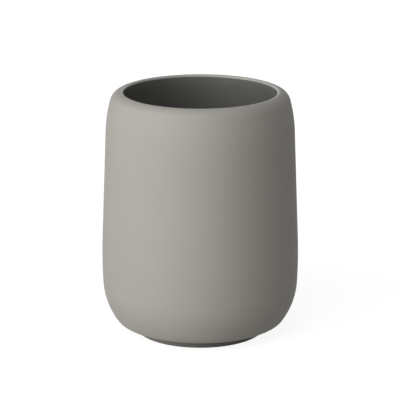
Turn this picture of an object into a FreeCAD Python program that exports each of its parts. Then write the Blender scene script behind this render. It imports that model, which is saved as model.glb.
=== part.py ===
"""Bathroom tumbler: a ceramic cup with a soft coat outside, a glaze inside and an anti-slip ring below.

Millimetres, +Z up. The origin is at the middle of the face that the tumbler stands on, and every piece
is a half section in the XZ plane turned about the Z axis.
"""
import FreeCAD, Part
import Sketcher
import math
import os

# Driving dimensions. The radii of the outside are those of the finished surface, over the coat.
SIZES = {
    "body_diameter": 85.0,      # across the widest place
    "overall_height": 106.0,    # from the standing face to the crest of the lip
    "belly_height": 33.1,       # of the widest place
    "belly_radius": 220.0,      # of the slow bend at the widest place
    "belly_angle": 2.9,         # degrees that the slow bend runs on below the widest place
    "base_radius": 30.2,        # of the bend from the side towards the underside
    "heel_radius": 4.0,         # of the tighter bend into the flat underside
    "underside_height": 4.4,    # of the flat underside above the standing face
    "wall_taper": 2.25,         # degrees that the straight wall leans inwards
    "shoulder_radius": 57.0,    # of the bend from the wall to the lip
    "lip_radius": 5.0,          # of the outer side of the lip
    "lip_inner_radius": 0.75,   # of the inner side of the lip
    "clay_wall": 6.0,           # thickness of the ceramic wall
    "clay_floor": 6.0,          # thickness of the ceramic floor
    "inner_base_radius": 12.0,  # of the bend from the ceramic wall to its floor, inside
    "coat_thickness": 0.5,
    "seam_depth": 0.15,         # that the coat runs on down inside, below the inner side of the lip
    "glaze_thickness": 0.4,
    "foot_land": 5.4,           # flat border of the underside, outside the ring
    "ring_width": 7.0,
    "ring_edge_radius": 0.8,    # of the ring's two lower edges
    "groove_depth": 1.0,        # that the ring is let into the ceramic
    "groove_clearance": 0.15,   # between the ring's sides and the walls of its groove
}

# Positions along a sketch curve, counted up, and the sketch's own origin and upright axis, counted down.
START, END, CENTRE = range(1, 4)
ORIGIN, AXIS = range(-1, -3, -1)

TAPER = "(Sizes.wall_taper * 1 deg)"
BELLY_TURN = "(Sizes.belly_angle * 1 deg)"

# Sine of the angle, below the horizontal, at which the base bend hands over to the heel bend.
HEEL_SINE = (
    "((Sizes.belly_height - Sizes.underside_height - Sizes.heel_radius"
    f" - (Sizes.belly_radius - Sizes.base_radius) * sin({BELLY_TURN}))"
    " / (Sizes.base_radius - Sizes.heel_radius))"
)

# Radius at which the underside stops being flat, which is also where the heel bend is centred.
FLAT_RADIUS = (
    "(Sizes.body_diameter / 2 - Sizes.belly_radius"
    f" + (Sizes.belly_radius - Sizes.base_radius) * cos({BELLY_TURN})"
    f" + (Sizes.base_radius - Sizes.heel_radius) * sqrt(1 - {HEEL_SINE} ^ 2))"
)

# Distances from the origin to the straight lines of the wall: its outside, and the bare clay inside.
WALL_REACH = (
    f"((Sizes.body_diameter / 2 - Sizes.belly_radius) * cos({TAPER})"
    f" + Sizes.belly_height * sin({TAPER}) + Sizes.belly_radius)"
)
CAVITY_REACH = f"({WALL_REACH} - Sizes.coat_thickness - Sizes.clay_wall)"

RING_OUTER = f"({FLAT_RADIUS} - Sizes.foot_land)"
RING_INNER = f"({RING_OUTER} - Sizes.ring_width)"
GROOVE_OUTER = f"({RING_OUTER} + Sizes.groove_clearance)"
GROOVE_INNER = f"({RING_INNER} - Sizes.groove_clearance)"
CLAY_UNDERSIDE = "(Sizes.underside_height + Sizes.coat_thickness)"
GROOVE_TOP = f"({CLAY_UNDERSIDE} + Sizes.groove_depth)"
CAVITY_FLOOR = f"({CLAY_UNDERSIDE} + Sizes.clay_floor)"
CAVITY_WALL_FOOT = f"({CAVITY_FLOOR} + Sizes.inner_base_radius * (1 + sin({TAPER})))"
SEAM_HEIGHT = f"(Sizes.overall_height - Sizes.lip_inner_radius * (1 + sin({TAPER})) - Sizes.seam_depth)"


def fill_sheet(doc):
    """Put each driving dimension into a cell of its own, under its name."""
    sheet = doc.addObject("Spreadsheet::Sheet", "Sizes")
    for row, (name, value) in enumerate(SIZES.items(), start=1):
        sheet.set(f"A{row}", name)
        sheet.set(f"B{row}", str(value))
        sheet.setAlias(f"B{row}", name)
    doc.recompute()


def spot(x, y):
    """Point of a section: its distance from the axis and its height."""
    return FreeCAD.Vector(x, y, 0)


def polar(centre, radius, angle):
    """Point at a distance and an angle, in radians, from a centre."""
    return centre + spot(radius * math.cos(angle), radius * math.sin(angle))


class Section:
    """The half section of one piece: a sketch in the XZ plane whose sizes follow the sheet."""

    def __init__(self, doc, label):
        self.body = doc.addObject("PartDesign::Body", label)
        self.body.Label = label
        self.sketch = self.body.newObject("Sketcher::SketchObject", f"{label}_section")
        planes = [item for item in self.body.Origin.OriginFeatures if item.Role == "XZ_Plane"]
        self.sketch.AttachmentSupport = [(planes[0], "")]
        self.sketch.MapMode = "FlatFace"

    def value(self, formula):
        """Present value of a formula of the sheet's cells: a length, or an angle in radians."""
        found = self.sketch.evalExpression(formula)
        if not isinstance(found, FreeCAD.Units.Quantity):
            return float(found)
        is_angle = found.Unit == FreeCAD.Units.Angle
        return math.radians(found.Value) if is_angle else found.Value

    def line(self, start, end):
        return self.sketch.addGeometry(Part.LineSegment(start, end))

    def arc(self, centre, radius, first, last):
        circle = Part.Circle(centre, FreeCAD.Vector(0, 0, 1), radius)
        return self.sketch.addGeometry(Part.ArcOfCircle(circle, first, last))

    def point(self, curve, position):
        return self.sketch.getPoint(curve, position)

    def rule(self, kind, *where):
        """Add a rule that holds no size, such as Horizontal or Coincident."""
        self.sketch.addConstraint(Sketcher.Constraint(kind, *where))

    def size(self, kind, *where, formula):
        """Add a size and bind it to a formula of the sheet's cells."""
        index = self.sketch.addConstraint(Sketcher.Constraint(kind, *where, self.value(formula)))
        self.sketch.setExpression(f"Constraints[{index}]", formula)

    def radius(self, curve, position, formula):
        """Set how far a point is from the axis."""
        self.size("DistanceX", ORIGIN, START, curve, position, formula=formula)

    def height(self, curve, position, formula):
        """Set how high a point is above the standing face."""
        self.size("DistanceY", ORIGIN, START, curve, position, formula=formula)

    def steps(self, *points):
        """Draw lines through the points in turn, each one level or upright as drawn."""
        spans = list(zip(points, points[1:]))
        lines = [self.line(start, end) for start, end in spans]
        for line, following in zip(lines, lines[1:]):
            self.rule("Coincident", line, END, following, START)
        for line, (start, end) in zip(lines, spans):
            level = abs(end.x - start.x) > abs(end.y - start.y)
            self.rule("Horizontal" if level else "Vertical", line)
        return lines

    def close(self, curve, position, other, other_position):
        """Draw a straight line between two end points."""
        line = self.line(self.point(curve, position), self.point(other, other_position))
        self.rule("Coincident", curve, position, line, START)
        self.rule("Coincident", line, END, other, other_position)
        return line

    def turn(self):
        """Make the piece by turning the section about the Z axis."""
        feature = self.body.newObject("PartDesign::Revolution", f"{self.body.Label}_turned")
        feature.Profile = self.sketch
        feature.ReferenceAxis = (self.sketch, ["V_Axis"])
        feature.Angle = 360


def draw_outside(section, inset, mouth_foot):
    """Draw the outside from the underside round the base, up the wall and over the lip into the mouth.

    Each bend of the clay has the centre of the coat's bend over it, and is smaller by the inset. The
    line that leads down inside the mouth is drawn to the height of its foot, which isn't yet fixed.
    Returns the flat underside, which starts beside the ring, and the line inside the mouth.
    """
    taper = section.value(TAPER)
    belly_turn = section.value(BELLY_TURN)
    heel_turn = math.asin(section.value(HEEL_SINE))
    depth = section.value(inset)
    names = ("heel", "base", "belly", "shoulder", "lip", "lip_inner")
    bend = {name: section.value(f"Sizes.{name}_radius") for name in names}

    # The centres of the bends: from the belly's down to the heel's, then from the lip's to the shoulder's.
    half_width = section.value("Sizes.body_diameter / 2")
    belly = spot(half_width - bend["belly"], section.value("Sizes.belly_height"))
    base = polar(belly, bend["belly"] - bend["base"], -belly_turn)
    heel = polar(base, bend["base"] - bend["heel"], -heel_turn)
    top = section.value("Sizes.overall_height")
    inner_y = top - bend["lip_inner"]
    inner_reach = section.value(f"{CAVITY_REACH} - Sizes.coat_thickness + Sizes.lip_inner_radius")
    crest = (inner_reach - inner_y * math.sin(taper)) / math.cos(taper)
    lip = spot(crest, top - bend["lip"])
    lip_reach = lip.x * math.cos(taper) + lip.y * math.sin(taper)
    shoulder_reach = section.value(WALL_REACH) - bend["shoulder"]
    lip_turn = taper + math.acos((lip_reach - shoulder_reach) / (bend["shoulder"] - bend["lip"]))
    shoulder = polar(lip, bend["lip"] - bend["shoulder"], lip_turn)

    heel_bend = section.arc(heel, bend["heel"] - depth, -math.pi / 2, -heel_turn)
    base_bend = section.arc(base, bend["base"] - depth, -heel_turn, -belly_turn)
    belly_bend = section.arc(belly, bend["belly"] - depth, -belly_turn, taper)
    shoulder_bend = section.arc(shoulder, bend["shoulder"] - depth, taper, lip_turn)
    lip_bend = section.arc(lip, bend["lip"] - depth, lip_turn, math.pi / 2)
    inner_bend = section.arc(spot(crest, inner_y), bend["lip_inner"] - depth, math.pi / 2, math.pi + taper)
    heel_start = section.point(heel_bend, START)
    mouth_start = section.point(inner_bend, END)
    mouth_length = (mouth_start.y - section.value(mouth_foot)) / math.cos(taper)
    mouth_end = polar(mouth_start, mouth_length, taper - math.pi / 2)
    underside = section.line(spot(section.value(GROOVE_OUTER), heel_start.y), heel_start)
    wall = section.line(section.point(belly_bend, END), section.point(shoulder_bend, START))
    mouth = section.line(mouth_start, mouth_end)

    chain = (underside, heel_bend, base_bend, belly_bend, wall, shoulder_bend, lip_bend, inner_bend, mouth)
    for curve, following in zip(chain, chain[1:]):
        section.rule("Tangent", curve, END, following, START)
    bends = (heel_bend, base_bend, belly_bend, shoulder_bend, lip_bend, inner_bend)
    for name, curve in zip(names, bends):
        section.size("Radius", curve, formula=f"Sizes.{name}_radius - {inset}")

    section.rule("Horizontal", underside)
    section.radius(underside, START, GROOVE_OUTER)
    section.height(underside, START, f"Sizes.underside_height + {inset}")
    section.size("DistanceX", belly_bend, CENTRE, ORIGIN, START,
                 formula="Sizes.belly_radius - Sizes.body_diameter / 2")
    section.height(belly_bend, CENTRE, "Sizes.belly_height")
    section.height(base_bend, CENTRE,
                   f"Sizes.belly_height - (Sizes.belly_radius - Sizes.base_radius) * sin({BELLY_TURN})")
    section.size("Angle", wall, formula=f"90 deg + {TAPER}")
    section.height(lip_bend, CENTRE, "Sizes.overall_height - Sizes.lip_radius")
    section.rule("Vertical", lip_bend, CENTRE, inner_bend, CENTRE)
    section.rule("Parallel", wall, mouth)
    section.size("Distance", ORIGIN, START, mouth,
                 formula=f"{CAVITY_REACH} - Sizes.coat_thickness + {inset}")
    return underside, mouth


def draw_floor(section, inset):
    """Draw the inside's floor from the axis and its bend up to the wall.

    The inset is how far the surface lies above the bare clay. Returns the floor and the bend.
    """
    taper = section.value(TAPER)
    depth = section.value(inset)
    bend_radius = section.value("Sizes.inner_base_radius")
    centre_y = section.value(CAVITY_FLOOR) + bend_radius
    centre_x = (section.value(CAVITY_REACH) - bend_radius - centre_y * math.sin(taper)) / math.cos(taper)
    bend = section.arc(spot(centre_x, centre_y), bend_radius - depth, -math.pi / 2, taper)
    bend_start = section.point(bend, START)
    floor = section.line(spot(0, bend_start.y), bend_start)

    section.rule("Tangent", floor, END, bend, START)
    section.rule("Horizontal", floor)
    section.rule("PointOnObject", floor, START, AXIS)
    section.height(floor, START, f"{CAVITY_FLOOR} + {inset}")
    section.size("Radius", bend, formula=f"Sizes.inner_base_radius - {inset}")
    return floor, bend


def draw_cavity(section, inset):
    """Draw the inside from the seam in the mouth down its wall and across its floor to the axis."""
    floor, bend = draw_floor(section, inset)
    taper = section.value(TAPER)
    foot = section.point(bend, END)
    rise = (section.value(SEAM_HEIGHT) - foot.y) / math.cos(taper)
    wall = section.line(polar(foot, rise, taper + math.pi / 2), foot)
    section.rule("Tangent", wall, END, bend, END)
    section.size("Angle", wall, formula=f"{TAPER} - 90 deg")
    section.size("Distance", ORIGIN, START, wall, formula=f"{CAVITY_REACH} - {inset}")
    return floor, wall


def draw_seam(section, clay_line, skin_line, position):
    """Cut a skin off square to the clay, at the height where the coat and the glaze meet."""
    seam = section.close(clay_line, position, skin_line, position)
    section.rule("Perpendicular", seam, clay_line)
    section.height(clay_line, position, SEAM_HEIGHT)


def make_stoneware_body(doc):
    """The slip-cast cup: bare clay all over, with the ring's groove underneath."""
    section = Section(doc, "stoneware_body")
    underside, mouth = draw_outside(section, "Sizes.coat_thickness", CAVITY_WALL_FOOT)
    floor, bend = draw_floor(section, "0")
    section.rule("Tangent", mouth, END, bend, END)

    low = section.value(CLAY_UNDERSIDE)
    high = section.value(GROOVE_TOP)
    near = section.value(GROOVE_INNER)
    far = section.value(GROOVE_OUTER)
    axis, middle, groove_near, groove_top, groove_far = section.steps(
        section.point(floor, START), spot(0, low), spot(near, low), spot(near, high), spot(far, high),
        spot(far, low))
    section.rule("Coincident", floor, START, axis, START)
    section.rule("Coincident", groove_far, END, underside, START)
    section.height(middle, START, CLAY_UNDERSIDE)
    section.radius(groove_near, START, GROOVE_INNER)
    section.height(groove_top, START, GROOVE_TOP)
    section.turn()
    return section


def make_soft_touch_coat(doc):
    """The matt skin on the outside, from the ring over the lip to the seam in the mouth."""
    section = Section(doc, "soft_touch_coat")
    outer_underside, outer_mouth = draw_outside(section, "0", SEAM_HEIGHT)
    clay_underside, clay_mouth = draw_outside(section, "Sizes.coat_thickness", SEAM_HEIGHT)
    section.close(outer_underside, START, clay_underside, START)
    draw_seam(section, clay_mouth, outer_mouth, END)
    section.turn()
    return section


def make_inner_glaze(doc):
    """The glassy lining of the inside, from the seam in the mouth down and across the floor."""
    section = Section(doc, "inner_glaze")
    clay_floor, clay_wall = draw_cavity(section, "0")
    glaze_floor, glaze_wall = draw_cavity(section, "Sizes.glaze_thickness")
    section.close(clay_floor, START, glaze_floor, START)
    draw_seam(section, clay_wall, glaze_wall, START)
    section.turn()
    return section


def make_anti_slip_ring(doc):
    """The ring that the cup stands on, let into its groove and rounded at the standing face."""
    section = Section(doc, "anti_slip_ring")
    near = section.value(RING_INNER)
    far = section.value(RING_OUTER)
    high = section.value(GROOVE_TOP)
    edge = section.value("Sizes.ring_edge_radius")
    outer_side, top, inner_side = section.steps(
        spot(far, edge), spot(far, high), spot(near, high), spot(near, edge))
    inner_edge = section.arc(spot(near + edge, edge), edge, math.pi, 3 * math.pi / 2)
    outer_edge = section.arc(spot(far - edge, edge), edge, -math.pi / 2, 0)
    standing_face = section.line(spot(near + edge, 0), spot(far - edge, 0))

    section.rule("Tangent", inner_side, END, inner_edge, START)
    section.rule("Tangent", inner_edge, END, standing_face, START)
    section.rule("Tangent", standing_face, END, outer_edge, START)
    section.rule("Tangent", outer_edge, END, outer_side, START)
    section.rule("Horizontal", standing_face)
    section.rule("PointOnObject", standing_face, START, ORIGIN)
    section.rule("Equal", inner_edge, outer_edge)
    section.size("Radius", outer_edge, formula="Sizes.ring_edge_radius")
    section.radius(top, START, RING_OUTER)
    section.radius(top, END, RING_INNER)
    section.height(top, START, GROOVE_TOP)
    section.turn()
    return section


def write_pieces(doc, sections):
    """Check that every object came out sound, then write each piece to a file of its own."""
    doc.recompute()
    for item in doc.Objects:
        if "Invalid" in item.State or "Error" in item.State:
            raise RuntimeError(f"{item.Label} did not build: {item.State}")
    for section in sections:
        shape = section.body.Shape
        if not section.sketch.FullyConstrained:
            raise RuntimeError(f"{section.sketch.Label} is not fully defined")
        if shape.isNull() or not shape.isValid():
            raise RuntimeError(f"{section.body.Label} has no sound shape")
    os.makedirs("parts", exist_ok=True)
    for section in sections:
        shape = section.body.Shape
        shape.exportStep(f"parts/{section.body.Label}.step")
        print(f"{section.body.Label}: {len(shape.Solids)} solid, {shape.Volume / 1000:.2f} ml")


document = FreeCAD.newDocument("bathroom_tumbler")
fill_sheet(document)
write_pieces(document, [
    make_stoneware_body(document),
    make_soft_touch_coat(document),
    make_inner_glaze(document),
    make_anti_slip_ring(document),
])
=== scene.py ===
"""Looks of a bathroom tumbler: a ceramic cup with a soft coat, a dark glaze and an anti-slip ring.

Everything is in metres, in the frame of the solids: +Z up, with the origin at the middle of the standing
face. Each piece is a half section of arcs and straight lines that is turned about the Z axis.
"""

import logging
import math
from dataclasses import dataclass
from enum import Enum
from typing import Any, Union

import bpy
import numpy as np
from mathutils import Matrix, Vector


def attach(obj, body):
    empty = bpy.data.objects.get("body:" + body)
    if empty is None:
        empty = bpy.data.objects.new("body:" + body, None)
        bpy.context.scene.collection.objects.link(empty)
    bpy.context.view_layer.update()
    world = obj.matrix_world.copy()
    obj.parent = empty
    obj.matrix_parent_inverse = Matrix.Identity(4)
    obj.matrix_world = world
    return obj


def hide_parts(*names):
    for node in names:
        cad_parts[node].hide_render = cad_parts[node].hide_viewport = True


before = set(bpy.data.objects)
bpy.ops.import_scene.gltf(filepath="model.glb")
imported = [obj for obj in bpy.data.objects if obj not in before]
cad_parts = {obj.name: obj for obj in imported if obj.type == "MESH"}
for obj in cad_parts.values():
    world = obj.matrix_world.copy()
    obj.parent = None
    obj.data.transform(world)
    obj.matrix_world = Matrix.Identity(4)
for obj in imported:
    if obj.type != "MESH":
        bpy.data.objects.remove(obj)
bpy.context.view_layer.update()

LOG = logging.getLogger("bathroom_tumbler")
ROOT_BODY = "root"

# Mesh fineness: steps round the axis, the longest step along an arc and along a straight line, the fewest
# steps of an arc, and the angle past which an edge stays sharp.
STEPS_ROUND = 192
ARC_STEP = 0.0008
LINE_STEP = 0.003
FEWEST_ARC_STEPS = 6
CORNER_ANGLE = math.radians(35)

# Points of a section that are nearer to each other, or to the axis, than this are one.
SAME_POINT = 1e-9

# Middle value of a noise, and the sockets of a Mix node that count when it mixes colours.
NOISE_MIDDLE = 0.5
MIX_SHARE, MIX_FIRST, MIX_SECOND = 0, 6, 7
MIX_RESULT = 2

Colour = tuple[float, float, float]
Number = Union[float, "Signal"]

WHITE = (1.0, 1.0, 1.0, 1.0)


class Node(Enum):
    """The solids that the pieces stand for, with the material slot of each."""

    BODY = ("stoneware_body", "stoneware")
    COAT = ("soft_touch_coat", "soft_coat")
    GLAZE = ("inner_glaze", "glaze")
    RING = ("anti_slip_ring", "ring_rubber")

    @property
    def solid(self) -> str:
        """Name of the solid."""
        return self.value[0]

    @property
    def slot(self) -> str:
        """Name of the solid's material slot."""
        return self.value[1]


# Sections: complex numbers, the distance from the axis plus i times the height.

def arc(centre: complex, radius: float, first: float, last: float) -> np.ndarray:
    """Points of an arc: the centre plus the radius turned evenly from one angle to the other.

    Args:
        centre: Centre of the arc in the section.
        radius: Radius of the arc.
        first: Angle of its first point, in radians.
        last: Angle of its last point, in radians.

    Returns:
        The points as complex numbers.
    """
    steps = max(FEWEST_ARC_STEPS, math.ceil(abs(last - first) * radius / ARC_STEP))
    return centre + radius * np.exp(1j * np.linspace(first, last, steps + 1))


def line(start: complex, end: complex) -> np.ndarray:
    """Points of a straight line, evenly spaced from its start to its end.

    Args:
        start: First point in the section.
        end: Last point in the section.

    Returns:
        The points as complex numbers.
    """
    steps = max(1, math.ceil(abs(end - start) / LINE_STEP))
    return np.linspace(start, end, steps + 1)


def chain(*stretches: np.ndarray) -> np.ndarray:
    """Join stretches end to end, leaving out each point that repeats the one before it.

    Args:
        stretches: Arrays of section points, each starting where the last one ended.

    Returns:
        One array of section points.
    """
    points = np.concatenate(stretches)
    fresh = np.abs(np.diff(points)) > SAME_POINT
    return points[np.concatenate([[True], fresh])]


def turned(section: np.ndarray) -> tuple[np.ndarray, list[tuple[int, ...]]]:
    """Turn a section about the Z axis: each point becomes a circle of its own distance and height.

    The section runs anticlockwise round the material, so that the faces point outwards. A section that
    starts and ends on the axis is closed there by a fan at each pole, and any other is closed end to
    start.

    Args:
        section: The section's points.

    Returns:
        The vertices, and the faces as tuples of vertex indices.
    """
    has_poles = section[0].real < SAME_POINT and section[-1].real < SAME_POINT
    rings = section[1:-1] if has_poles else section
    turn = np.arange(STEPS_ROUND) * (2 * math.pi / STEPS_ROUND)
    grid = np.stack([np.outer(rings.real, np.cos(turn)), np.outer(rings.real, np.sin(turn)),
                     np.outer(rings.imag, np.ones(STEPS_ROUND))], axis=-1)
    index = np.arange(len(rings) * STEPS_ROUND).reshape(len(rings), STEPS_ROUND)
    ahead = np.roll(index, -1, axis=1)
    lower, upper = (index[:-1], index[1:]) if has_poles else (index, np.roll(index, -1, axis=0))
    lower_ahead, upper_ahead = (ahead[:-1], ahead[1:]) if has_poles else (ahead, np.roll(ahead, -1, axis=0))
    quads = np.stack([lower, lower_ahead, upper_ahead, upper], axis=-1).reshape(-1, 4)
    vertices = grid.reshape(-1, 3)
    faces = [tuple(face) for face in quads.tolist()]
    if has_poles:
        first_pole, last_pole = len(vertices), len(vertices) + 1
        ends = np.array([[0, 0, section[0].imag], [0, 0, section[-1].imag]])
        vertices = np.concatenate([vertices, ends])
        first_fan = np.stack([np.full(STEPS_ROUND, first_pole), ahead[0], index[0]], axis=-1)
        last_fan = np.stack([index[-1], ahead[-1], np.full(STEPS_ROUND, last_pole)], axis=-1)
        faces += [tuple(face) for face in np.concatenate([first_fan, last_fan]).tolist()]
    return vertices, faces


@dataclass(frozen=True)
class CupOutline:
    """Sizes of the cup's half section, and the curves that its pieces share.

    The radii of the outside are those of the finished surface, over the coat. The bends of the clay
    under the coat have the same centres and are smaller by the coat's thickness.
    """

    body_diameter: float = 0.085
    overall_height: float = 0.106
    belly_height: float = 0.0331
    belly_radius: float = 0.22
    belly_turn: float = math.radians(2.9)
    base_radius: float = 0.0302
    heel_radius: float = 0.004
    underside_height: float = 0.0044
    taper: float = math.radians(2.25)
    shoulder_radius: float = 0.057
    lip_radius: float = 0.005
    lip_inner_radius: float = 0.00075
    clay_wall: float = 0.006
    clay_floor: float = 0.006
    inner_base_radius: float = 0.012
    coat: float = 0.0005
    seam_depth: float = 0.00015
    glaze: float = 0.0004
    foot_land: float = 0.0054
    ring_width: float = 0.007
    groove_depth: float = 0.001
    groove_clearance: float = 0.00015

    @property
    def belly_centre(self) -> complex:
        """Centre of the slow bend at the widest place."""
        return complex(self.body_diameter / 2 - self.belly_radius, self.belly_height)

    @property
    def base_centre(self) -> complex:
        """Centre of the bend towards the underside, which runs smoothly out of the belly's."""
        return self.belly_centre + (self.belly_radius - self.base_radius) * np.exp(-1j * self.belly_turn)

    @property
    def heel_turn(self) -> float:
        """Angle below the horizontal at which the base bend hands over to the heel bend."""
        drop = self.base_centre.imag - self.underside_height - self.heel_radius
        return math.asin(drop / (self.base_radius - self.heel_radius))

    @property
    def heel_centre(self) -> complex:
        """Centre of the tighter bend into the flat underside."""
        return self.base_centre + (self.base_radius - self.heel_radius) * np.exp(-1j * self.heel_turn)

    @property
    def ring_outer(self) -> float:
        """Outer radius of the ring, a narrow border inside the edge of the flat underside."""
        return self.heel_centre.real - self.foot_land

    @property
    def ring_inner(self) -> float:
        """Inner radius of the ring."""
        return self.ring_outer - self.ring_width

    @property
    def clay_underside(self) -> float:
        """Height of the bare clay above the standing face."""
        return self.underside_height + self.coat

    @property
    def groove_top(self) -> float:
        """Height of the ceiling of the ring's groove."""
        return self.clay_underside + self.groove_depth

    @property
    def seam_height(self) -> float:
        """Height at which the coat and the glaze meet inside the mouth."""
        return self.overall_height - self.lip_inner_radius * (1 + math.sin(self.taper)) - self.seam_depth

    def reach(self, point: complex) -> float:
        """Distance of a point from the origin, measured square to the leaning wall."""
        return (point * np.exp(-1j * self.taper)).real

    @property
    def cavity_reach(self) -> float:
        """Distance from the origin to the line of the bare clay wall, inside."""
        return self.reach(self.belly_centre) + self.belly_radius - self.coat - self.clay_wall

    def on_wall(self, reach: float, height: float) -> complex:
        """Point at a height on a leaning wall line, which is a reach away from the origin."""
        return complex((reach - height * math.sin(self.taper)) / math.cos(self.taper), height)

    def seam_point(self, depth: float) -> complex:
        """Point of the seam in the mouth, square to the clay's wall and a depth in from it."""
        return self.on_wall(self.cavity_reach, self.seam_height) - depth * np.exp(1j * self.taper)

    def outside(self, inset: float) -> np.ndarray:
        """The outside from beside the ring, round the base, up the wall and over the lip.

        The bends follow one another smoothly: heel, base and belly below, then the straight wall, then
        shoulder, lip and inner lip.

        Args:
            inset: Depth under the finished surface.

        Returns:
            The section's points, anticlockwise.
        """
        inner_lip_height = self.overall_height - self.lip_inner_radius
        crest = self.on_wall(self.cavity_reach - self.coat + self.lip_inner_radius, inner_lip_height)
        lip = complex(crest.real, self.overall_height - self.lip_radius)
        shoulder_reach = self.reach(self.belly_centre) + self.belly_radius - self.shoulder_radius
        across = (self.reach(lip) - shoulder_reach) / (self.shoulder_radius - self.lip_radius)
        lip_turn = self.taper + math.acos(across)
        shoulder = lip - (self.shoulder_radius - self.lip_radius) * np.exp(1j * lip_turn)
        heel = arc(self.heel_centre, self.heel_radius - inset, -math.pi / 2, -self.heel_turn)
        base = arc(self.base_centre, self.base_radius - inset, -self.heel_turn, -self.belly_turn)
        belly = arc(self.belly_centre, self.belly_radius - inset, -self.belly_turn, self.taper)
        over = arc(shoulder, self.shoulder_radius - inset, self.taper, lip_turn)
        lip_arc = arc(lip, self.lip_radius - inset, lip_turn, math.pi / 2)
        inner = arc(crest, self.lip_inner_radius - inset, math.pi / 2, math.pi + self.taper)
        edge = complex(self.ring_outer + self.groove_clearance, self.underside_height + inset)
        return chain(line(edge, heel[0]), heel, base, belly, line(belly[-1], over[0]), over, lip_arc, inner)

    def cavity(self, inset: float) -> np.ndarray:
        """The inside from the seam in the mouth down the wall and across the floor to the axis.

        Args:
            inset: Height of the surface above the bare clay.

        Returns:
            The section's points, anticlockwise.
        """
        radius = self.inner_base_radius
        centre = self.on_wall(self.cavity_reach - radius, self.clay_underside + self.clay_floor + radius)
        corner = arc(centre, radius - inset, self.taper, -math.pi / 2)
        middle = complex(0, corner[-1].imag)
        return chain(line(self.seam_point(inset), corner[0]), corner, line(corner[-1], middle))


class Graph:
    """The nodes of one material, world or other shader tree."""

    def __init__(self, tree: bpy.types.NodeTree) -> None:
        """Start from an empty tree."""
        self.tree = tree
        tree.nodes.clear()

    def node(self, kind: str, settings: dict[str, Any] | None = None,
             sockets: dict[str | int, Any] | None = None) -> bpy.types.Node:
        """Add one node.

        Args:
            kind: The node's type, without the leading ShaderNode.
            settings: Attributes of the node, set first.
            sockets: Value or link of each input, by name or by index.

        Returns:
            The new node.
        """
        made = self.tree.nodes.new(f"ShaderNode{kind}")
        for name, value in (settings or {}).items():
            setattr(made, name, value)
        for key, value in (sockets or {}).items():
            source = value.socket if isinstance(value, Signal) else value
            if isinstance(source, bpy.types.NodeSocket):
                self.tree.links.new(source, made.inputs[key])
            else:
                made.inputs[key].default_value = source
        return made

    def signal(self, kind: str, output: str | int, settings: dict[str, Any] | None = None,
               sockets: dict[str | int, Any] | None = None) -> "Signal":
        """Add one node and give one of its outputs, by name or index, ready for arithmetic."""
        return Signal(self, self.node(kind, settings, sockets).outputs[output])

    def place(self) -> bpy.types.NodeSocket:
        """Object coordinates, which are metres in the frame of the solids."""
        return self.node("TexCoord").outputs["Object"]

    def height(self, place: bpy.types.NodeSocket) -> "Signal":
        """Height above the standing face, in metres."""
        return self.signal("SeparateXYZ", "Z", sockets={"Vector": place})

    def radius(self, place: bpy.types.NodeSocket) -> "Signal":
        """Distance from the Z axis: the root of x squared plus y squared.

        Args:
            place: Coordinates that the distance is read at.

        Returns:
            The distance in metres.
        """
        axes = self.node("SeparateXYZ", sockets={"Vector": place})
        across, along = (Signal(self, axes.outputs[name]) for name in "XY")
        return (across * across + along * along) ** 0.5

    def noise(self, place: bpy.types.NodeSocket, grain: float, detail: float = 2.0) -> "Signal":
        """Soft noise from about 0.2 to 0.8: the largest spots in metres, and how many finer layers."""
        sockets = {"Vector": place, "Scale": 1 / grain, "Detail": detail}
        return self.signal("TexNoise", "Fac", sockets=sockets)

    def blend(self, share: Number, first: Any, second: Any) -> bpy.types.NodeSocket:
        """Mix two colours.

        Args:
            share: How much of the second colour, from 0 to 1.
            first: A colour or a colour socket.
            second: A colour or a colour socket.

        Returns:
            The mixed colour's socket.
        """
        colours = [(*item, 1.0) if isinstance(item, tuple) else item for item in (first, second)]
        settings = {"data_type": "RGBA", "clamp_factor": True}
        sockets = {MIX_SHARE: share, MIX_FIRST: colours[0], MIX_SECOND: colours[1]}
        return self.node("Mix", settings, sockets).outputs[MIX_RESULT]

    def bump(self, height: "Signal", depth: float) -> bpy.types.NodeSocket:
        """Normal of the surface bent by a height from 0 to 1, with the relief's real depth in metres."""
        sockets = {"Strength": 1.0, "Distance": depth, "Height": height}
        return self.node("Bump", sockets=sockets).outputs["Normal"]


class Signal:
    """A number socket on which arithmetic adds Math nodes."""

    def __init__(self, graph: Graph, socket: bpy.types.NodeSocket) -> None:
        """Wrap a socket of a graph's node."""
        self.graph = graph
        self.socket = socket

    def math(self, operation: str, *values: Number) -> "Signal":
        """Add one Math node, whose inputs are numbers or signals in order."""
        sockets = dict(enumerate(values))
        return self.graph.signal("Math", 0, {"operation": operation}, sockets)

    def __add__(self, other: Number) -> "Signal":
        """This plus the other."""
        return self.math("ADD", self, other)

    def __radd__(self, other: Number) -> "Signal":
        """The other plus this."""
        return self.math("ADD", other, self)

    def __sub__(self, other: Number) -> "Signal":
        """This less the other."""
        return self.math("SUBTRACT", self, other)

    def __rsub__(self, other: Number) -> "Signal":
        """The other less this."""
        return self.math("SUBTRACT", other, self)

    def __mul__(self, other: Number) -> "Signal":
        """This times the other."""
        return self.math("MULTIPLY", self, other)

    def __rmul__(self, other: Number) -> "Signal":
        """The other times this."""
        return self.math("MULTIPLY", other, self)

    def __pow__(self, other: Number) -> "Signal":
        """This to the power of the other."""
        return self.math("POWER", self, other)

    def ramp(self, low: float, high: float) -> "Signal":
        """Rise smoothly from 0 at one value to 1 at another.

        Args:
            low: Value that gives 0.
            high: Value that gives 1, which may be the smaller one.

        Returns:
            The number between 0 and 1.
        """
        settings = {"interpolation_type": "SMOOTHSTEP", "clamp": True}
        sockets = {"Value": self, "From Min": low, "From Max": high}
        return self.graph.signal("MapRange", "Result", settings, sockets)


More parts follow.
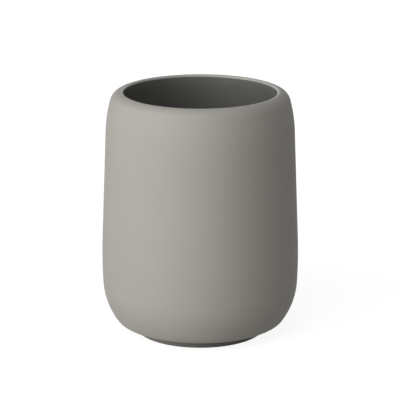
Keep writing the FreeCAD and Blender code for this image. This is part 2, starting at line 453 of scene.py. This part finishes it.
class Finish:
    """Base of the finishes: a material whose look is worked out from object coordinates."""

    name: str = "finish"

    def material(self) -> bpy.types.Material:
        """Make the material and paint it.

        Returns:
            The finished material.
        """
        made = bpy.data.materials.new(self.name)
        made.use_nodes = True
        graph = Graph(made.node_tree)
        surface = self.surface(graph)
        graph.node("OutputMaterial", sockets={"Surface": surface.outputs["BSDF"]})
        return made

    def surface(self, graph: Graph) -> bpy.types.Node:
        """Add the nodes of the surface, and give the Principled node that ends them."""
        raise NotImplementedError


@dataclass(frozen=True)
class SoftTouch(Finish):
    """Matt warm-grey coat: a fine dry grain, slow clouds in its tone and dullness, and a smoother lip.

    The inner edge of the lip is rubbed smooth and catches a thin bright line.
    """

    name: str = "soft_touch_coat"
    light: Colour = (0.437, 0.415, 0.386)
    dark: Colour = (0.403, 0.382, 0.354)
    roughness: float = 0.66
    cloud_dulling: float = 0.12
    grain_dulling: float = 0.2
    specular: float = 0.12
    sheen: float = 0.05
    sheen_roughness: float = 0.5
    cloud_size: float = 0.03
    cloud_share: float = 0.55
    fleck_size: float = 0.0012
    fleck_share: float = 0.3
    fleck_relief: float = 0.25
    grain_size: float = 0.00028
    grain_share: float = 0.15
    grain_depth: float = 0.00003
    lip_height: float = 0.1052
    lip_radius: float = 0.0334
    lip_fade: float = 0.0006
    lip_gloss: float = 0.6
    lip_roughness: float = 0.12

    def surface(self, graph: Graph) -> bpy.types.Node:
        """Add the nodes of the surface.

        Args:
            graph: The material's nodes.

        Returns:
            The Principled node that ends them.
        """
        place = graph.place()
        cloud = graph.noise(place, self.cloud_size)
        fleck = graph.noise(place, self.fleck_size, detail=3.0)
        grain = graph.noise(place, self.grain_size, detail=3.0)
        tone = cloud * self.cloud_share + fleck * self.fleck_share + grain * self.grain_share
        cloudy = (cloud - NOISE_MIDDLE) * self.cloud_dulling
        grainy = (grain - NOISE_MIDDLE) * self.grain_dulling
        relief = grain * (1 - self.fleck_relief) + fleck * self.fleck_relief
        rubbed = graph.height(place).ramp(self.lip_height - self.lip_fade, self.lip_height)
        rubbed *= graph.radius(place).ramp(self.lip_radius + self.lip_fade, self.lip_radius)
        return graph.node("BsdfPrincipled", sockets={
            "Base Color": graph.blend(tone, self.dark, self.light),
            "Roughness": self.roughness + cloudy + grainy,
            "Specular IOR Level": self.specular,
            "Sheen Weight": self.sheen,
            "Sheen Roughness": self.sheen_roughness,
            "Coat Weight": rubbed * self.lip_gloss,
            "Coat Roughness": self.lip_roughness,
            "Normal": graph.bump(relief, self.grain_depth),
        })


@dataclass(frozen=True)
class DarkGlaze(Finish):
    """Dark grey glaze: thin and paler at the lip, pooled at the floor, with a slight orange peel."""

    name: str = "dark_glaze"
    thin: Colour = (0.154, 0.153, 0.144)
    full: Colour = (0.128, 0.128, 0.12)
    pooled: Colour = (0.086, 0.086, 0.08)
    roughness: float = 0.3
    speck_dulling: float = 0.12
    pool_gloss: float = 0.08
    seam_height: float = 0.1051
    fade: float = 0.004
    pool_height: float = 0.03
    pool_share: float = 0.8
    floor_height: float = 0.0113
    peel_size: float = 0.004
    peel_depth: float = 0.00003
    speck_size: float = 0.0006
    speck_share: float = 0.5
    speck_relief: float = 0.1

    def surface(self, graph: Graph) -> bpy.types.Node:
        """Add the nodes of the surface.

        Args:
            graph: The material's nodes.

        Returns:
            The Principled node that ends them.
        """
        place = graph.place()
        peel = graph.noise(place, self.peel_size, detail=1.0)
        speck = graph.noise(place, self.speck_size, detail=3.0)
        speckle = speck - NOISE_MIDDLE
        uneven_height = graph.height(place) + (peel - NOISE_MIDDLE) * self.fade
        thin = uneven_height.ramp(self.seam_height - self.fade, self.seam_height)
        pool = uneven_height.ramp(self.pool_height, self.floor_height)
        body = graph.blend(pool * self.pool_share + speckle * self.speck_share, self.full, self.pooled)
        relief = peel * (1 - self.speck_relief) + speck * self.speck_relief
        return graph.node("BsdfPrincipled", sockets={
            "Base Color": graph.blend(thin, body, self.thin),
            "Roughness": self.roughness + speckle * self.speck_dulling - pool * self.pool_gloss,
            "Normal": graph.bump(relief, self.peel_depth),
        })


@dataclass(frozen=True)
class FiredClay(Finish):
    """Bare fired clay: pale and dry, with dark specks and the faint rings of a sponged underside."""

    name: str = "fired_clay"
    light: Colour = (0.66, 0.59, 0.5)
    dark: Colour = (0.56, 0.49, 0.4)
    speck: Colour = (0.24, 0.19, 0.15)
    speck_share: float = 0.7
    speck_start: float = 0.66
    speck_full: float = 0.72
    speck_size: float = 0.0011
    roughness: float = 0.82
    grit_dulling: float = 0.15
    specular: float = 0.25
    cloud_size: float = 0.012
    ring_size: float = 0.0016
    ring_wander: float = 9.0
    ring_tint: float = 0.06
    relief_depth: float = 0.00006
    cloud_relief: float = 0.5
    ring_relief: float = 0.2
    grit_relief: float = 0.3

    def surface(self, graph: Graph) -> bpy.types.Node:
        """Add the nodes of the surface.

        Args:
            graph: The material's nodes.

        Returns:
            The Principled node that ends them.
        """
        place = graph.place()
        cloud = graph.noise(place, self.cloud_size, detail=4.0)
        grit = graph.noise(place, self.speck_size, detail=2.0)
        turns = graph.radius(place) * (2 * math.pi / self.ring_size) + cloud * self.ring_wander
        sponge = turns.math("SINE", turns)
        specks = grit.ramp(self.speck_start, self.speck_full)
        tone = graph.blend(cloud + sponge * self.ring_tint, self.dark, self.light)
        relief = cloud * self.cloud_relief + sponge * self.ring_relief + grit * self.grit_relief
        return graph.node("BsdfPrincipled", sockets={
            "Base Color": graph.blend(specks * self.speck_share, tone, self.speck),
            "Roughness": self.roughness + (grit - NOISE_MIDDLE) * self.grit_dulling,
            "Specular IOR Level": self.specular,
            "Normal": graph.bump(relief, self.relief_depth),
        })


@dataclass(frozen=True)
class RingRubber(Finish):
    """Dark grey matt rubber: a fine moulded grain, paler where dust and handling have dulled it."""

    name: str = "ring_rubber"
    light: Colour = (0.24, 0.232, 0.211)
    dark: Colour = (0.16, 0.155, 0.141)
    roughness: float = 0.68
    cloud_dulling: float = 0.2
    specular: float = 0.3
    cloud_size: float = 0.006
    cloud_share: float = 0.7
    grain_size: float = 0.00035
    grain_share: float = 0.3
    grain_depth: float = 0.00006

    def surface(self, graph: Graph) -> bpy.types.Node:
        """Add the nodes of the surface.

        Args:
            graph: The material's nodes.

        Returns:
            The Principled node that ends them.
        """
        place = graph.place()
        cloud = graph.noise(place, self.cloud_size, detail=3.0)
        grain = graph.noise(place, self.grain_size, detail=2.0)
        tone = cloud * self.cloud_share + grain * self.grain_share
        return graph.node("BsdfPrincipled", sockets={
            "Base Color": graph.blend(tone, self.dark, self.light),
            "Roughness": self.roughness + (cloud - NOISE_MIDDLE) * self.cloud_dulling,
            "Specular IOR Level": self.specular,
            "Normal": graph.bump(grain, self.grain_depth),
        })


@dataclass(frozen=True)
class TurnedPiece:
    """Base of the pieces: a section of the cup, turned, dressed and set in its solid's place."""

    cup: CupOutline
    finish: Finish
    node: Node

    def section(self) -> np.ndarray:
        """Section of the piece, anticlockwise round its material."""
        raise NotImplementedError

    def build(self) -> bpy.types.Object:
        """Make the piece by turning its section, and let it stand for its solid.

        Returns:
            The piece, still without its finish.
        """
        vertices, faces = turned(self.section())
        mesh = bpy.data.meshes.new(self.node.solid)
        mesh.from_pydata(vertices.tolist(), [], faces)
        mesh.shade_smooth()
        mesh.set_sharp_from_angle(angle=CORNER_ANGLE)
        piece = bpy.data.objects.new(f"{self.node.solid}_dressed", mesh)
        bpy.context.scene.collection.objects.link(piece)
        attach(piece, ROOT_BODY)
        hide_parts(self.node.solid)
        return piece

    def dress(self, piece: bpy.types.Object) -> None:
        """Give the piece its finish."""
        piece.data.materials.append(self.finish.material())


@dataclass(frozen=True)
class StonewareBody(TurnedPiece):
    """The cast cup, bare clay all over, with the ring's groove underneath."""

    def section(self) -> np.ndarray:
        """Section of the piece, anticlockwise round its material.

        Returns:
            The section's points, from the middle of the underside to the middle of the floor.
        """
        cup = self.cup
        near = cup.ring_inner - cup.groove_clearance
        far = cup.ring_outer + cup.groove_clearance
        low, high = cup.clay_underside, cup.groove_top
        groove = (complex(0, low), complex(near, low), complex(near, high), complex(far, high),
                  complex(far, low))
        foot = [line(start, end) for start, end in zip(groove, groove[1:])]
        outside = cup.outside(cup.coat)
        cavity = cup.cavity(0.0)
        return chain(*foot, outside, line(outside[-1], cavity[0]), cavity)


@dataclass(frozen=True)
class SoftCoat(TurnedPiece):
    """The matt skin from the ring over the outside and the lip to the seam in the mouth."""

    def section(self) -> np.ndarray:
        """Section of the piece, anticlockwise round its material.

        Returns:
            The section's points, out over the finished surface and back along the clay.
        """
        cup = self.cup
        skin = cup.outside(0.0)
        clay = cup.outside(cup.coat)[::-1]
        seam = (cup.seam_point(cup.coat), cup.seam_point(0.0))
        return chain(skin, line(skin[-1], seam[0]), line(*seam), line(seam[1], clay[0]), clay)


@dataclass(frozen=True)
class InnerGlaze(TurnedPiece):
    """The glassy lining from the seam in the mouth down and across the floor."""

    def section(self) -> np.ndarray:
        """Section of the piece, anticlockwise round its material.

        Returns:
            The section's points, from the clay's floor up its wall and back down over the glaze.
        """
        clay = self.cup.cavity(0.0)[::-1]
        skin = self.cup.cavity(self.cup.glaze)
        return chain(clay, line(clay[-1], skin[0]), skin)


@dataclass(frozen=True)
class AntiSlipRing(TurnedPiece):
    """The ring that the cup stands on, rounded at its standing face."""

    edge_radius: float = 0.0008

    def section(self) -> np.ndarray:
        """Section of the piece, anticlockwise round its material.

        Returns:
            The section's points, from the standing face round by the outer side.
        """
        near, far, high = self.cup.ring_inner, self.cup.ring_outer, self.cup.groove_top
        edge = self.edge_radius
        inner_edge = arc(complex(near + edge, edge), edge, math.pi, 1.5 * math.pi)
        outer_edge = arc(complex(far - edge, edge), edge, -math.pi / 2, 0.0)
        top = (complex(far, high), complex(near, high))
        standing = line(inner_edge[-1], outer_edge[0])
        outer_side = line(outer_edge[-1], top[0])
        inner_side = line(top[1], inner_edge[0])
        return chain(inner_edge, standing, outer_edge, outer_side, line(*top), inner_side[:-1])


@dataclass(frozen=True)
class SoftBox:
    """A large rectangular studio lamp that points at the middle of the cup.

    The azimuth is counted from the camera's side towards the right, in degrees.
    """

    name: str
    azimuth: float
    elevation: float
    power: float
    width: float = 0.5
    height: float = 0.5
    distance: float = 1.0

    def add(self, target: Vector) -> None:
        """Put the lamp in the scene.

        Args:
            target: Point that the lamp faces.
        """
        lamp = bpy.data.lights.new(self.name, "AREA")
        lamp.shape = "RECTANGLE"
        lamp.size, lamp.size_y = self.width, self.height
        lamp.energy = self.power
        turn, rise = math.radians(self.azimuth), math.radians(self.elevation)
        away = Vector((math.sin(turn) * math.cos(rise), -math.cos(turn) * math.cos(rise), math.sin(rise)))
        item = bpy.data.objects.new(self.name, lamp)
        item.location = target + away * self.distance
        item.rotation_euler = away.to_track_quat("Z", "Y").to_euler()
        bpy.context.scene.collection.objects.link(item)


@dataclass(frozen=True)
class Studio:
    """Pale floor, soft lamps and the camera at the photograph's viewing angle."""

    lamps: tuple[SoftBox, ...] = (
        SoftBox("key", azimuth=-53.0, elevation=18.0, power=6.9, width=0.75),
        SoftBox("high_front", azimuth=-8.0, elevation=48.0, power=2.4),
    )
    sky: float = 0.17
    floor_size: float = 8.0
    floor_gap: float = 0.0001
    floor_colour: Colour = (0.55, 0.555, 0.525)
    floor_shading: Colour = (0.25, 0.25, 0.25)
    glow_near: float = 0.9
    glow_far: float = 1.0
    glow_reach: float = 0.4
    camera_side: float = -0.0001
    camera_distance: float = 0.86523
    camera_height: float = 0.29888
    camera_pitch: float = 0.27171
    field_of_view: float = math.radians(10.983)
    target: tuple[float, float, float] = (0.0, 0.0, 0.05)

    def build(self) -> None:
        """Add the floor, the sky, the lamps and the camera."""
        self.add_floor()
        self.add_sky()
        for lamp in self.lamps:
            lamp.add(Vector(self.target))
        self.add_camera()
        bpy.context.scene.view_settings.view_transform = "Standard"

    @staticmethod
    def seen(graph: Graph) -> Signal:
        """One where the camera, or a mirror or glass, looks straight at the surface, and zero elsewhere.

        Args:
            graph: Nodes of the floor's material or the sky.

        Returns:
            The number.
        """
        path = graph.node("LightPath")
        names = ("Is Camera Ray", "Is Glossy Ray", "Is Transmission Ray")
        camera, glossy, through = (Signal(graph, path.outputs[name]) for name in names)
        return camera.math("MAXIMUM", camera.math("MAXIMUM", camera, glossy), through)

    def floor_material(self) -> bpy.types.Material:
        """Make the floor's paper, which bounces light and looks white round a faint shadow.

        Returns:
            The finished material.
        """
        made = bpy.data.materials.new("pale_floor")
        made.use_nodes = True
        graph = Graph(made.node_tree)
        seen = self.seen(graph)
        away = graph.radius(graph.place()).ramp(0.0, self.glow_reach)
        glow_level = seen * (self.glow_near + away * (self.glow_far - self.glow_near))
        colour = graph.blend(seen, self.floor_colour, self.floor_shading)
        paper = graph.node("BsdfDiffuse", sockets={"Color": colour})
        glow = graph.node("Emission", sockets={"Strength": glow_level})
        both = graph.node("AddShader", sockets={0: paper.outputs[0], 1: glow.outputs[0]})
        graph.node("OutputMaterial", sockets={"Surface": both.outputs[0]})
        return made

    def add_floor(self) -> None:
        """Lay the floor, a hair below the standing face, so that the two are never in one plane."""
        half = self.floor_size / 2
        corners = [(-half, -half), (half, -half), (half, half), (-half, half)]
        mesh = bpy.data.meshes.new("floor")
        mesh.from_pydata([(*corner, -self.floor_gap) for corner in corners], [], [(0, 1, 2, 3)])
        mesh.materials.append(self.floor_material())
        floor = bpy.data.objects.new("floor", mesh)
        bpy.context.scene.collection.objects.link(floor)

    def add_sky(self) -> None:
        """Surround the scene with an even soft light that looks white."""
        world = bpy.data.worlds.new("sky")
        world.use_nodes = True
        graph = Graph(world.node_tree)
        level = self.sky + self.seen(graph) * (1 - self.sky)
        light = graph.node("Background", sockets={"Color": WHITE, "Strength": level})
        graph.node("OutputWorld", sockets={"Surface": light.outputs[0]})
        bpy.context.scene.world = world

    def add_camera(self) -> None:
        """Set up the camera in front of the cup, a little above it and looking down."""
        lens = bpy.data.cameras.new("camera")
        lens.angle = self.field_of_view
        camera = bpy.data.objects.new("camera", lens)
        camera.location = (self.camera_side, -self.camera_distance, self.camera_height)
        camera.rotation_euler = (math.pi / 2 - self.camera_pitch, 0.0, 0.0)
        bpy.context.scene.collection.objects.link(camera)
        bpy.context.scene.camera = camera


def main() -> None:
    """Build the pieces in order, then the studio round them."""
    logging.basicConfig(level=logging.INFO, format="%(message)s")
    cup = CupOutline()
    parts = (
        StonewareBody(cup, FiredClay(), Node.BODY),
        SoftCoat(cup, SoftTouch(), Node.COAT),
        InnerGlaze(cup, DarkGlaze(), Node.GLAZE),
        AntiSlipRing(cup, RingRubber(), Node.RING),
    )
    for part in parts:
        piece = part.build()
        part.dress(piece)
        LOG.info("%s: %d faces, finish %s", piece.name, len(piece.data.polygons), part.finish.name)
    Studio().build()


if __name__ == "__main__":
    main()
